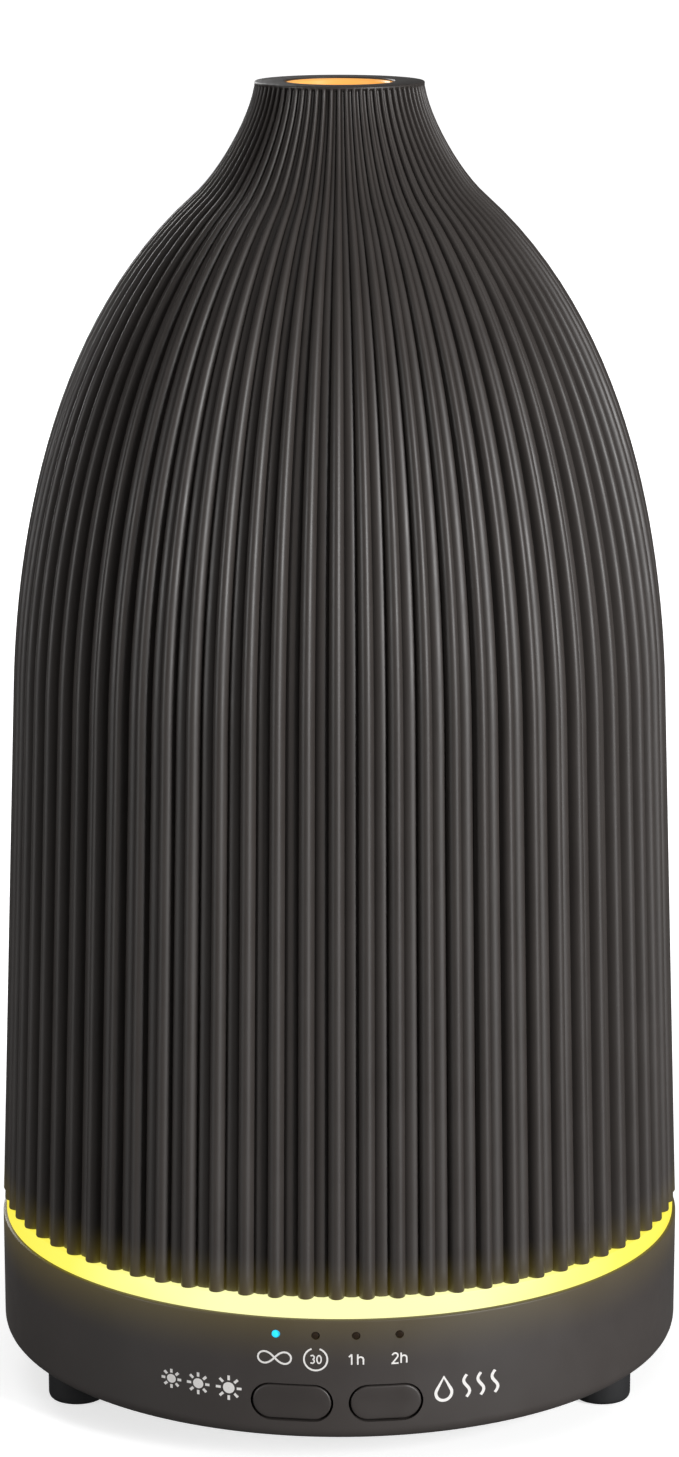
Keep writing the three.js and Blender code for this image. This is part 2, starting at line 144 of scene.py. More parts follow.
def rounded(corners, steps=5):
    """An outline with its corners rounded. A corner is (radius, height) or (radius, height, fillet)."""
    points = []
    for i, corner in enumerate(corners):
        here = Vector(corner[:2])
        if len(corner) == 2:
            points.append(tuple(here))
            continue
        before = Vector(corners[i - 1][:2]) - here
        after = Vector(corners[(i + 1) % len(corners)][:2]) - here
        start = here + before.normalized() * corner[2]
        end = here + after.normalized() * corner[2]
        for k in range(steps + 1):
            t = k / steps
            points.append(tuple(start * (1 - t) ** 2 + here * 2 * t * (1 - t) + end * t**2))
    return points


def revolved(outline, segments=144):
    """Vertices and faces of an outline, as (radius, height), turned about Z. It runs anticlockwise."""
    on_axis = outline[0][0] == 0
    rings = outline[1:-1] if on_axis else outline
    vertices = []
    for radius, height in rings:
        for k in range(segments):
            angle = 2 * math.pi * k / segments
            vertices.append((radius * math.cos(angle), radius * math.sin(angle), height))
    faces = []
    count = len(rings)
    for i in range(count - 1 if on_axis else count):
        low = i * segments
        high = (i + 1) % count * segments
        for k in range(segments):
            n = (k + 1) % segments
            faces.append((low + k, low + n, high + n, high + k))
    if on_axis:
        faces.append(tuple(reversed(range(segments))))
        faces.append(tuple(range((count - 1) * segments, count * segments)))
    return vertices, faces


def turned(name, corners, segments=144, steps=5):
    return make_object(name, *revolved(rounded(corners, steps), segments))


def rod(radius, low, high, segments=48):
    """A plain cylinder that cuts or joins another piece."""
    return make_object("tool", *revolved([(0, low), (radius, low), (radius, high), (0, high)], segments))


def block(size, centre):
    half = Vector(size) / 2
    signs = [(x, y, z) for z in (-1, 1) for y in (-1, 1) for x in (-1, 1)]
    corners = [Vector(centre) + half * Vector(sign) for sign in signs]
    faces = [(0, 2, 3, 1), (4, 5, 7, 6), (0, 1, 5, 4), (2, 6, 7, 3), (0, 4, 6, 2), (1, 3, 7, 5)]
    return make_object("tool", corners, faces)


def placed(piece, x=0.0, y=0.0, z=0.0, turn=None):
    """Moves a mesh's own vertices: first an optional turn, then a shift in millimetres."""
    if turn is not None:
        piece.data.transform(turn)
    piece.data.transform(Matrix.Translation(Vector((x, y, z)) * MM))
    return piece


def facing_y():
    """Turns +Z into +Y."""
    return Matrix.Rotation(-math.pi / 2, 4, "X")


def about_z(degrees):
    return Matrix.Rotation(math.radians(degrees), 4, "Z")


def combine(piece, tools, operation="DIFFERENCE"):
    """Cuts tools from a piece or joins them to it, and removes the tools."""
    for tool in tools:
        modifier = piece.modifiers.new("combine", "BOOLEAN")
        modifier.object = tool
        modifier.operation = operation
        modifier.solver = "EXACT"
    graph = bpy.context.evaluated_depsgraph_get()
    mesh = bpy.data.meshes.new_from_object(piece.evaluated_get(graph))
    piece.modifiers.clear()
    piece.data = mesh
    for tool in tools:
        bpy.data.objects.remove(tool)
    return piece


def polar(radius, degrees):
    angle = math.radians(degrees)
    return radius * math.cos(angle), radius * math.sin(angle)


def bezier(points, steps):
    """Points along a cubic curve through its first and last control points."""
    a, b, c, d = (Vector(p) for p in points)
    curve = []
    for k in range(steps + 1):
        t = k / steps
        s = 1 - t
        curve.append(a * s**3 + b * 3 * s * s * t + c * 3 * s * t * t + d * t**3)
    return [tuple(p) for p in curve]


# ---- Materials ----


class Surface:
    """A procedural material around one Principled shader."""

    def __init__(self, name):
        self.material = bpy.data.materials.new(name)
        self.material.use_nodes = True
        self.tree = self.material.node_tree
        self.shader = self.tree.nodes["Principled BSDF"]
        self.place = self.node("ShaderNodeTexCoord").outputs["Object"]

    def node(self, kind, **settings):
        made = self.tree.nodes.new(kind)
        for key, value in settings.items():
            setattr(made, key, value)
        return made

    def link(self, source, target):
        self.tree.links.new(source, target)

    def stretched(self, scale):
        """Object coordinates, scaled per axis."""
        mapping = self.node("ShaderNodeMapping")
        mapping.inputs["Scale"].default_value = scale
        self.link(self.place, mapping.inputs["Vector"])
        return mapping.outputs["Vector"]

    def noise(self, scale, detail=3.0, stretch=(1, 1, 1)):
        made = self.node("ShaderNodeTexNoise")
        made.inputs["Scale"].default_value = scale
        made.inputs["Detail"].default_value = detail
        self.link(self.stretched(stretch), made.inputs["Vector"])
        return made.outputs["Fac"]

    def ramp(self, factor, stops):
        """Colours along a factor; stops are (position, colour)."""
        made = self.node("ShaderNodeValToRGB")
        ramp = made.color_ramp
        while len(ramp.elements) < len(stops):
            ramp.elements.new(0.5)
        for element, (position, color) in zip(ramp.elements, stops, strict=True):
            element.position = position
            element.color = (*color, 1.0)
        self.link(factor, made.inputs["Fac"])
        return made.outputs["Color"]

    def span(self, factor, low, high, out_low, out_high):
        """Maps a factor from low..high to out_low..out_high."""
        made = self.node("ShaderNodeMapRange")
        sockets = ("From Min", "From Max", "To Min", "To Max")
        for socket, value in zip(sockets, (low, high, out_low, out_high), strict=True):
            made.inputs[socket].default_value = value
        self.link(factor, made.inputs["Value"])
        return made.outputs["Result"]

    def math(self, operation, first, second):
        made = self.node("ShaderNodeMath", operation=operation)
        for socket, value in zip(made.inputs, (first, second)):
            if isinstance(value, (int, float)):
                socket.default_value = value
            else:
                self.link(value, socket)
        return made.outputs["Value"]

    def axis(self, name):
        made = self.node("ShaderNodeSeparateXYZ")
        self.link(self.place, made.inputs["Vector"])
        return made.outputs[name]

    def bump(self, height, strength, distance_mm):
        made = self.node("ShaderNodeBump")
        made.inputs["Strength"].default_value = strength
        made.inputs["Distance"].default_value = distance_mm * MM
        self.link(height, made.inputs["Height"])
        self.feed("Normal", made.outputs["Normal"])

    def feed(self, name, source):
        """Links an output to one of the shader's sockets."""
        self.link(source, self.shader.inputs[name])

    def set(self, **values):
        """Sets the shader's own sockets, named with underscores for spaces."""
        for name, value in values.items():
            self.shader.inputs[name.replace("_", " ")].default_value = value


def shade(color, share):
    return tuple(min(1.0, c * share) for c in color)


def moulded(name, color, roughness, mottle=0.08, grain=2600, grain_depth=0.012):
    """Injection-moulded plastic or rubber: faint mottling, uneven gloss and a fine spark-eroded grain."""
    surface = Surface(name)
    cloud = surface.noise(70, 4)
    stops = [(0.3, shade(color, 1 - mottle)), (0.7, shade(color, 1 + mottle))]
    surface.feed("Base Color", surface.ramp(cloud, stops))
    gloss = surface.span(surface.noise(180, 3), 0.3, 0.7, roughness - 0.05, roughness + 0.05)
    surface.feed("Roughness", gloss)
    surface.bump(surface.noise(grain, 2), 0.5, grain_depth)
    return surface


def rubber():
    """Black rubber with a coarse, matte grain."""
    black = (0.011, 0.011, 0.012)
    return moulded("foot_rubber", black, 0.8, mottle=0.2, grain=1200, grain_depth=0.06).material


def metal(name, color, roughness, stretch=(1, 1, 14)):
    """Drawn or turned metal with fine lines."""
    surface = Surface(name)
    lines = surface.noise(500, 4, stretch)
    surface.feed("Base Color", surface.ramp(lines, [(0.3, shade(color, 0.82)), (0.7, color)]))
    surface.feed("Roughness", surface.span(lines, 0.3, 0.7, roughness, roughness + 0.18))
    surface.bump(lines, 0.25, 0.01)
    surface.set(Metallic=1.0)
    return surface.material


# colour of the ring's light, painted onto the housing as a glow
PAINTED_GLOW_TINT = (0.62, 0.45, 0.03, 1.0)


def charcoal(name, color, roughness, lit_edge, fade):
    """The housing's dark plastic, with a painted glow of the ring's light on it, from lit_edge to where it
    fades.
    """
    surface = moulded(name, color, roughness, mottle=0.07, grain=2200, grain_depth=0.012)
    # painted glow: emission standing in for the ring's light, strongest at the edge by the ring
    painted_glow = surface.span(surface.axis("Z"), lit_edge * MM, fade * MM, 0.2, 0.0)
    soft = surface.math("POWER", painted_glow, 1.6)
    surface.feed("Emission Strength", soft)
    surface.set(Emission_Color=PAINTED_GLOW_TINT)
    return surface.material


def glowing_ring():
    """Translucent ring: palest at the front and back, deeper yellow at the sides."""
    surface = Surface("glowing_ring")
    facing = surface.math("ABSOLUTE", surface.axis("Y"), 0)
    share = surface.span(facing, 0.0, BASE_RADIUS * MM, 0.0, 1.0)
    cloud = surface.math("MULTIPLY", surface.noise(90, 2), 0.12)
    mixed = surface.math("ADD", share, cloud)
    stops = [
        (0.2, (0.92, 0.78, 0.04)),
        (0.68, (0.99, 0.9, 0.12)),
        (0.88, (1.0, 0.97, 0.32)),
        (1.0, (1.0, 1.0, 0.5)),
    ]
    surface.feed("Emission Color", surface.ramp(mixed, stops))
    surface.bump(surface.noise(900, 2), 0.2, 0.02)
    surface.set(Base_Color=(0.16, 0.13, 0.03, 1), Roughness=0.45, Emission_Strength=1.0)
    return surface.material


def milky(name, color=(0.7, 0.7, 0.67), glow=None):
    """Translucent white polypropylene, with a faint painted glow where one is given, strongest at the
    bottom and fading upward.
    """
    surface = moulded(name, color, 0.35, mottle=0.015, grain=1800, grain_depth=0.008)
    surface.set(Subsurface_Weight=0.35, Subsurface_Scale=0.004, Subsurface_Radius=(1.0, 0.9, 0.7))
    if glow:
        low, high, tint, strength = glow
        # painted glow: emission on the tank, strongest at its bottom
        painted_glow_falloff = surface.span(surface.axis("Z"), low * MM, high * MM, strength, 0.0)
        surface.feed("Emission Strength", painted_glow_falloff)
        surface.set(Emission_Color=tint)
    return surface.material


def amber_lining():
    """Outlet lining with a painted glow that stands in for light from below: warm at the mouth, whiter
    deep inside.
    """
    surface = Surface("amber_lining")
    depth = surface.span(surface.axis("Z"), (TOP - 9) * MM, TOP * MM, 0.0, 1.0)
    cloud = surface.math("ADD", depth, surface.math("MULTIPLY", surface.noise(220, 3), 0.25))
    stops = [(0.1, (1.0, 0.72, 0.42)), (0.7, (1.0, 0.55, 0.19)), (1.0, (1.0, 0.43, 0.08))]
    surface.feed("Emission Color", surface.ramp(cloud, stops))
    surface.bump(surface.noise(700, 2), 0.15, 0.02)
    surface.set(Base_Color=(0.45, 0.27, 0.1, 1), Roughness=0.4, Emission_Strength=0.72)
    return surface.material


def ink():
    """Pale pad-printed ink, a little uneven, with a faint painted glow that keeps it pale in any light."""
    surface = moulded("print", (0.8, 0.78, 0.76), 0.6, mottle=0.05, grain=3000, grain_depth=0.005)
    surface.set(Emission_Color=(0.8, 0.78, 0.76, 1), Emission_Strength=0.1)
    return surface.material


def lamp_window(name, color, strength):
    surface = moulded(name, color, 0.25, mottle=0.1, grain=4000, grain_depth=0.004)
    surface.set(Emission_Color=(*color, 1.0), Emission_Strength=strength, Coat_Weight=0.3)
    return surface.material


def circuit_board():
    """Green solder mask over copper tracks, with bright vias."""
    surface = Surface("circuit_board")
    tracks = surface.node("ShaderNodeTexBrick")
    tracks.inputs["Scale"].default_value = 260
    tracks.inputs["Mortar Size"].default_value = 0.035
    tracks.inputs["Color1"].default_value = (0.012, 0.11, 0.045, 1)
    tracks.inputs["Color2"].default_value = (0.016, 0.14, 0.055, 1)
    tracks.inputs["Mortar"].default_value = (0.06, 0.3, 0.12, 1)
    surface.link(surface.place, tracks.inputs["Vector"])
    dots = surface.node("ShaderNodeTexVoronoi")
    dots.inputs["Scale"].default_value = 420
    surface.link(surface.place, dots.inputs["Vector"])
    via = surface.math("LESS_THAN", dots.outputs["Distance"], 0.16)
    mix = surface.node("ShaderNodeMix", data_type="RGBA")
    surface.link(via, mix.inputs["Factor"])
    surface.link(tracks.outputs["Color"], mix.inputs["A"])
    mix.inputs["B"].default_value = (0.75, 0.72, 0.6, 1)
    surface.feed("Base Color", mix.outputs["Result"])
    surface.feed("Roughness", surface.span(via, 0, 1, 0.38, 0.22))
    surface.bump(tracks.outputs["Fac"], 0.3, 0.03)
    return surface.material


def winding():
    """Enamelled copper wire wound in close turns, with painted shade in the grooves between them."""
    surface = Surface("copper_winding")
    turns = surface.node("ShaderNodeTexWave", bands_direction="Z")
    turns.inputs["Scale"].default_value = 700
    turns.inputs["Distortion"].default_value = 0.6
    surface.link(surface.place, turns.inputs["Vector"])
    # the ramp follows the bump's bands: the darker colour in the grooves is painted shade
    stops = [(0.1, (0.16, 0.05, 0.015)), (0.8, (0.62, 0.25, 0.09))]
    surface.feed("Base Color", surface.ramp(turns.outputs["Fac"], stops))
    surface.bump(turns.outputs["Fac"], 0.6, 0.12)
    surface.set(Metallic=0.7, Roughness=0.3)
    return surface.material


CHARCOAL_COVER = (0.041, 0.035, 0.032)
CHARCOAL_BASE = (0.05, 0.043, 0.04)

MATERIALS = {
    "cover_plastic": charcoal("cover_plastic", CHARCOAL_COVER, 0.46, COVER_BOTTOM, COVER_BOTTOM + 6),
    "base_plastic": charcoal("base_plastic", CHARCOAL_BASE, 0.5, SEAM, SEAM - 7),
    "button_plastic": moulded("button_plastic", shade(CHARCOAL_BASE, 0.9), 0.45).material,
    "dark_plastic": moulded("dark_plastic", (0.018, 0.018, 0.019), 0.45, mottle=0.15).material,
    "foot_rubber": rubber(),
    "glow_ring": glowing_ring(),
    "amber_lining": amber_lining(),
    "white_plastic": milky("white_plastic"),
    "lit_tank": milky("lit_tank", glow=(TANK_LOW.z, TANK_LOW.z + 30, (1.0, 0.85, 0.3, 1.0), 0.35)),
    "silicone": milky("silicone", (0.66, 0.66, 0.62)),
    "steel": metal("steel", (0.6, 0.61, 0.62), 0.22),
    "brass": metal("brass", (0.72, 0.5, 0.19), 0.25),
    "heat_sink_metal": metal("heat_sink_metal", (0.7, 0.7, 0.72), 0.35, stretch=(1, 14, 1)),
    "copper_winding": winding(),
    "circuit_board": circuit_board(),
    "lit_indicator": lamp_window("lit_indicator", (0.02, 0.52, 0.82), 1.0),
    "dark_indicator": lamp_window("dark_indicator", (0.022, 0.012, 0.005), 0.0),
    "lamp": lamp_window("lamp", (0.95, 0.85, 0.45), 0.8),
    "lead_sleeve": moulded("lead_sleeve", (0.03, 0.03, 0.034), 0.5).material,
    "print": ink(),
}


# ---- Cover ----

BEAD = 0.27  # half width of a rib's bead, as a share of the pitch
CREASE = 0.32  # depth of the crease at its foot, as a share of the rib's
CREASE_WIDTH = 0.35  # how far it runs into the groove, as a share of the bead

# One rib's columns, as shares of the pitch from its crest.
HALF_RIB = [0.07, 0.13, 0.18, 0.22, 0.25, BEAD, 0.3, 0.4]
RIB_COLUMNS = [-share for share in reversed(HALF_RIB)] + [0, *HALF_RIB]


def rib_crest(share):
    """A rib's height, from 1 on the bead's crest to 0 in the flat groove, with a crease between."""
    across = abs(share) / BEAD
    if across < 1:
        return (1 - across**2) ** 0.75 - CREASE * across**6
    return -CREASE * max(0.0, 1 - (across - 1) / CREASE_WIDTH)


def rib_depth(radius, height):
    """Ribs get shallower with the cover's radius, and run out just under the rim."""
    run_out = min(1.0, max(0.0, (TOP - 0.25 - height) / 0.4))
    return RIB_DEPTH * min(1.0, radius / COVER_RADIUS + 0.1) * run_out


def shoulder_and_neck(inset, steps):
    """The shoulder's and neck's curves, as (radius, height)."""
    waist = (21.0, 171.9)  # where the shoulder turns into the neck
    shoulder = [(SHOULDER_RADIUS, SHOULDER_HEIGHT), (46.5, 120.7), (42.2, 153.1), waist]
    neck = [waist, (16.6, 175.7), (RIM_RADIUS, 184.5), (RIM_RADIUS, TOP)]
    points = bezier(shoulder, steps) + bezier(neck, steps // 2)[1:]
    return [(radius - inset, height) for radius, height in points]


def cover_outline():
    """The cover's section as (radius, height, ribbed), anticlockwise from the lower outside edge."""
    edge = 0.35
    rim = 0.15
    outside = [(COVER_RADIUS - edge, COVER_BOTTOM), (COVER_RADIUS - edge * 0.3, COVER_BOTTOM + edge * 0.3)]
    outside.append((COVER_RADIUS, COVER_BOTTOM + edge))
    for share in (0.04, 0.1, 0.25, 0.5, 0.75, 0.9):
        height = COVER_BOTTOM + share * (SHOULDER_HEIGHT - COVER_BOTTOM)
        outside.append((COVER_RADIUS + share * (SHOULDER_RADIUS - COVER_RADIUS), height))
    curve = shoulder_and_neck(0, 26)
    outside += [point for point in curve if point[1] < TOP - 1]
    outside += [(RIM_RADIUS, TOP - 0.65), (RIM_RADIUS, TOP - 0.4), (RIM_RADIUS, TOP - 0.25)]
    bore = MOUTH_RADIUS + 1.1
    top = [(RIM_RADIUS, TOP - rim), (RIM_RADIUS - 0.05, TOP - 0.05), (RIM_RADIUS - rim, TOP)]
    top += [(bore - 0.15, TOP), (bore - 0.25, TOP - 0.1), (bore - 0.25, TOP - 0.3)]
    inside = [(r, z - 2) for r, z in shoulder_and_neck(COVER_WALL, 12) if r > bore + 1]
    inside = [(COVER_RADIUS - COVER_WALL, COVER_BOTTOM), *inside, (bore, inside[-1][1] + 3)]
    section = [(r, z, True) for r, z in outside]
    section += [(r, z, False) for r, z in top + list(reversed(inside))]
    return section


def cover_shell():
    """The ribbed cover, one closed mesh."""
    places = [(rib + share, rib_crest(share)) for rib in range(RIB_COUNT) for share in RIB_COLUMNS]
    columns = len(places)
    section = cover_outline()
    vertices = []
    for radius, height, ribbed in section:
        for place, crest in places:
            hollow = rib_depth(radius, height) * (1 - crest) if ribbed else 0.0
            degrees = 360 * place / RIB_COUNT - 90 + RIB_PHASE
            vertices.append((*polar(radius - hollow, degrees), height))
    faces = []
    for i in range(len(section)):
        low = i * columns
        high = (i + 1) % len(section) * columns
        for k in range(columns):
            n = (k + 1) % columns
            faces.append((low + k, low + n, high + n, high + k))
    piece = make_object("cover_shell", vertices, faces)
    finish_piece(piece, "cover", MATERIALS["cover_plastic"], ["ribbed_cover"], sharp=42)


def outlet_lining():
    """The translucent lining of the mist outlet, flared at its lower end."""
    outer = MOUTH_RADIUS + 0.8
    rim = NOZZLE_TOP
    inner = MOUTH_RADIUS
    flare = bezier([(inner, 173.5), (inner, 170.5), (inner + 1.6, 168), (inner + 3.2, 166.2)], 8)
    back = [(radius + 0.8, height + 0.5) for radius, height in reversed(flare)]
    edge = [(outer, rim - 0.2), (outer - 0.2, rim), (inner + 0.25, rim), (inner, rim - 0.25)]
    piece = make_object("outlet_lining", *revolved([*flare, *back, *edge], 96))
    finish_piece(piece, "cover", MATERIALS["amber_lining"], ["mist_nozzle"])


# ---- Tank lid ----


def lid_body():
    """Skirt, dome and chimney of the tank's lid."""
    chimney = 9.0
    wall = 1.6
    skirt = LID_HIGH.x
    rim = TANK_HIGH.z + GAP
    top = LID_HIGH.z
    curve = [(skirt, rim + 2.2), (skirt - 4, rim + 14), (chimney + 3, rim + 11), (chimney, rim + 29)]
    dome = bezier(curve, 24)
    under = [(radius - wall, height - 1.1) for radius, height in reversed(dome[2:])]
    corners = [
        (skirt - wall, LID_LOW.z, 0.3),
        (skirt, LID_LOW.z, 0.5),
        *dome,
        (chimney, top, 0.4),
        (chimney - wall, top, 0.4),
        *under,
        (skirt - 4.5, rim, 0.3),
        (skirt - wall, rim, 0.3),
    ]
    piece = turned("lid_body", corners, 128)
    finish_piece(piece, "lid", MATERIALS["white_plastic"], ["tank_lid"], sharp=40)


# ---- Water tank ----

FAN = centre_mm("fan_frame")
MIST = centre_mm("transducer_disc")
BOSS_RADIUS = 12.2
COLUMN_RADIUS = 8
COLUMN_TOP = 62
BORE_RADIUS = 6  # of the air column, and of the hole over the transducer


def tank_body():
    """The tank: cup and flange, a raised fill line, the air column, and the well over the transducer."""
    outer = 40.0
    inner = outer - 2
    low = TANK_LOW.z
    floor = low + 2
    line = floor + 22
    corners = [
        (0, low),
        (TANK_HIGH.x, low, 0.3),
        (TANK_HIGH.x, low + 1.4, 0.4),
        (outer, low + 1.4, 0.5),
        (outer, TANK_HIGH.z, 0.6),
        (inner, TANK_HIGH.z, 0.6),
        (inner, line + 0.5),
        (inner - 0.35, line + 0.2),
        (inner - 0.35, line - 0.2),
        (inner, line - 0.5),
        (inner, floor, 2.5),
        (0, floor),
    ]
    piece = turned("tank_body", corners, 128)
    pipe = [(0, floor - 1), (COLUMN_RADIUS, floor - 1), (COLUMN_RADIUS, COLUMN_TOP, 0.6), (0, COLUMN_TOP)]
    column = placed(turned("tool", pipe, 64), FAN.x)
    bosses = []
    pilots = []
    for i in range(3):
        x, y = polar(BOSS_RADIUS, 60 + 120 * i)
        bosses.append(placed(rod(2.3, low - 2.6, floor - 1), MIST.x + x, y))
        pilots.append(placed(rod(1.2, low - 5, low), MIST.x + x, y))
    combine(piece, [column, *bosses], "UNION")
    holes = [placed(rod(BORE_RADIUS, 0, TANK_HIGH.z + 5, 64), place.x) for place in (FAN, MIST)]
    combine(piece, [*holes, *pilots])
    finish_piece(piece, "base", MATERIALS["lit_tank"], ["water_tank"], sharp=40)


# ---- Base ----

SCREW_RADIUS = 41.0
SCREW_ANGLES = [45 + 90 * i for i in range(4)]
BUTTONS = ("light", "mist")
WINDOWS = [f"light_pipe_{i}" for i in range(1, 5)]
WINDOW_RADIUS = 0.5
PILLAR_RADIUS = 3.3
SCREW_HOLE = 1.6
SOCKET_RADIUS = 3.9


def stadium_points(width, height, inset=0.0, steps=16):
    """Points round a slab with rounded ends, centred on the origin, anticlockwise."""
    end = height / 2
    straight = width / 2 - end
    points = []
    for side, start in ((1, -90), (-1, 90)):
        for k in range(steps + 1):
            x, z = polar(end - inset, start + 180 * k / steps)
            points.append((side * straight + x, z))
    return points


def stadium_tool(width, height, centre, y_low, y_high):
    """A stadium-shaped cutter along Y."""
    outline = stadium_points(width, height)
    count = len(outline)
    vertices = [(centre.x + x, y, centre.z + z) for y in (y_low, y_high) for x, z in outline]
    faces = [(k, (k + 1) % count, count + (k + 1) % count, count + k) for k in range(count)]
    faces += [tuple(reversed(range(count))), tuple(range(count, 2 * count))]
    return face_outwards(make_object("tool", vertices, faces))


def key_size(node):
    """Width and height of a button's cap, inside its retaining flange."""
    low, high = box_mm(node)
    flange = 1.4
    return high.x - low.x - flange, high.z - low.z - flange


def base_housing():
    """The base's outer wall with its openings, and the four screw pillars inside."""
    corners = [
        (INNER_RADIUS, BASE_BOTTOM, 0.3),
        (BASE_RADIUS, BASE_BOTTOM, 1.9),
        (BASE_RADIUS, SEAM, 0.3),
        (INNER_RADIUS, SEAM, 0.3),
    ]
    piece = turned("base_housing", corners, 240, 8)
    foot = PLATE_HIGH.z + GAP
    web_height = 14
    pillars = []
    holes = []
    for degrees in SCREW_ANGLES:
        x, y = polar(SCREW_RADIUS, degrees)
        pillars.append(placed(rod(PILLAR_RADIUS, foot, TANK_LOW.z - GAP), x, y))
        middle = ((SCREW_RADIUS + INNER_RADIUS + 3) / 2, 0, foot + web_height / 2)
        web = block((6, 2.4, web_height), middle)
        pillars.append(placed(web, turn=about_z(degrees)))
        holes.append(placed(rod(SCREW_HOLE, 0, 18), x, y))
    combine(piece, pillars, "UNION")
    for name in BUTTONS:
        width, height = key_size(f"{name}_button")
        centre = centre_mm(f"{name}_button")
        holes.append(stadium_tool(width + 2 * GAP, height + 2 * GAP, centre, -BASE_RADIUS - 3, -40))
    for node in WINDOWS:
        centre = centre_mm(node)
        bore = rod(WINDOW_RADIUS + 0.1, -BASE_RADIUS - 3, -42, 32)
        holes.append(placed(bore, centre.x, 0, centre.z, facing_y()))
    socket = centre_mm("power_pin")
    holes.append(placed(rod(SOCKET_RADIUS, 44, BASE_RADIUS + 3), 0, 0, socket.z, facing_y()))
    combine(piece, holes)
    finish_piece(piece, "base", MATERIALS["base_plastic"], ["base_shell"], sharp=30)


def bottom_plate():
    """The bottom plate: intake slots under the fan and sunk screw holes."""
    low, high = PLATE_LOW.z, PLATE_HIGH.z
    radius = PLATE_HIGH.x
    groove = [(34, low), (34.3, low + 0.3), (36, low + 0.3), (36.3, low)]
    corners = [(0, low), *groove, (radius, low, 0.5), (radius, high), (0, high)]
    piece = turned("bottom_plate", corners, 192)
    cuts = []
    reach = 13  # radius of the slotted patch under the fan
    pitch = 3.6
    for i in range(-3, 4):
        x = i * pitch
        length = 2 * math.sqrt(reach**2 - x**2)
        slot = stadium_tool(length, 2.2, Vector((0, 0, 0)), -12, 12)
        cuts.append(placed(slot, FAN.x + x, 0, 0, about_z(90) @ Matrix.Rotation(math.pi / 2, 4, "X")))
    for degrees in SCREW_ANGLES:
        x, y = polar(SCREW_RADIUS, degrees)
        cuts.append(placed(rod(SCREW_HOLE, 0, high + 1), x, y))
        cuts.append(placed(rod(3.0, 0, low + 1), x, y))
    combine(piece, cuts)
    finish_piece(piece, "base", MATERIALS["dark_plastic"], ["base_plate"], sharp=30)


def glow_ring():
    """The translucent ring between base and cover, with its locating lip inside the cover."""
    seat = RING_LOW.z
    step = INNER_RADIUS - 0.1
    outer = RING_HIGH.x
    lip = COVER_RADIUS - COVER_WALL - 0.5
    top = COVER_BOTTOM - 0.02
    corners = [
        (lip - 1.5, seat + 0.6),
        (step, seat + 0.6),
        (step, SEAM + 0.02),
        (outer, SEAM + 0.02, 0.15),
        (outer, top, 0.1),
        (lip, top, 0.3),
        (lip, RING_HIGH.z, 0.4),
        (lip - 1.5, RING_HIGH.z, 0.4),
    ]
    piece = turned("glow_ring", corners, 240)
    finish_piece(piece, "base", MATERIALS["glow_ring"], ["light_ring"])


def rubber_foot(node):
    """A rubber foot with a rounded sole and a shallow dished middle."""
    low, high = box_mm(node)
    centre = (low + high) / 2
    radius = (high.x - low.x) / 2
    corners = [
        (0, 0.25),
        (1.6, 0.25, 0.3),
        (2.2, 0.0, 0.3),
        (radius, 0.0, 1.0),
        (radius, high.z, 0.6),
        (0, high.z),
    ]
    piece = placed(turned(f"{node}_rubber", corners, 64), centre.x, centre.y)
    finish_piece(piece, "base", MATERIALS["foot_rubber"], [node])


def pan_screw(node, head, shank, threads):
    """A pan-head screw, head down, with a cross recess and a rolled thread."""
    low, high = box_mm(node)
    centre = (low + high) / 2
    length = high.z - low.z
    head_height = 0.7
    root = shank * 0.8  # the thread's inner radius
    corners = [(0, 0), (head * 0.55, 0), (head, 0.45, 0.2), (head, head_height), (shank, head_height)]
    pitch = (length - 1.6) / threads
    for i in range(threads):
        z = 0.9 + i * pitch
        corners += [(root, z), (shank, z + pitch / 2)]
    corners += [(root, length - 0.6), (shank * 0.2, length), (0, length)]
    piece = turned(f"{node}_pan", corners, 32)
    arm = head * 0.9
    slot = 0.5
    depth = 0.9
    combine(piece, [block(size, (0, 0, 0)) for size in ((arm, slot, depth), (slot, arm, depth))])
    placed(piece, centre.x, centre.y, low.z)
    finish_piece(piece, "base", MATERIALS["steel"], [node], sharp=30)


# ---- Buttons, indicator windows and printed marks ----


def on_wall(x, z, depth=0.0):
    """A point on the base's front wall, depth millimetres behind its surface."""
    return x, -math.sqrt(BASE_RADIUS**2 - x**2) + depth, z


def push_button(name):
    """A button cap that follows the wall's curve, with a soft edge, a retaining flange and a stem."""
    node = f"{name}_button"
    low, high = box_mm(node)
    centre = (low + high) / 2
    width, height = key_size(node)
    back = high.y
    rings = [
        (-0.7, back - 0.7, None),
        (-0.7, back - 1.7, None),
        (0.0, back - 1.7, None),
        (0.0, None, 0.3),
        (0.04, None, 0.12),
        (0.13, None, 0.05),
        (0.28, None, 0.03),
        (0.9, None, 0.04),
        (1.6, None, 0.06),
        (2.2, None, 0.08),
    ]
    vertices = []
    for inset, flat, depth in rings:
        for x, z in stadium_points(width, height, inset):
            place = on_wall(centre.x + x, centre.z + z, depth or 0)
            vertices.append(place if flat is None else (centre.x + x, flat, centre.z + z))
    count = len(vertices) // len(rings)
    faces = []
    for i in range(len(rings) - 1):
        for k in range(count):
            n = (k + 1) % count
            faces.append((i * count + k, (i + 1) * count + k, (i + 1) * count + n, i * count + n))
    faces.append(tuple(range(count)))
    faces.append(tuple(reversed(range((len(rings) - 1) * count, len(rings) * count))))
    piece = make_object(f"{name}_key", vertices, faces)
    stem = placed(rod(1.6, back - 0.8, back), centre.x, 0, centre.z, facing_y())
    face_outwards(piece)
    combine(piece, [stem], "UNION")
    finish_piece(piece, node, MATERIALS["button_plastic"], [node], sharp=45)


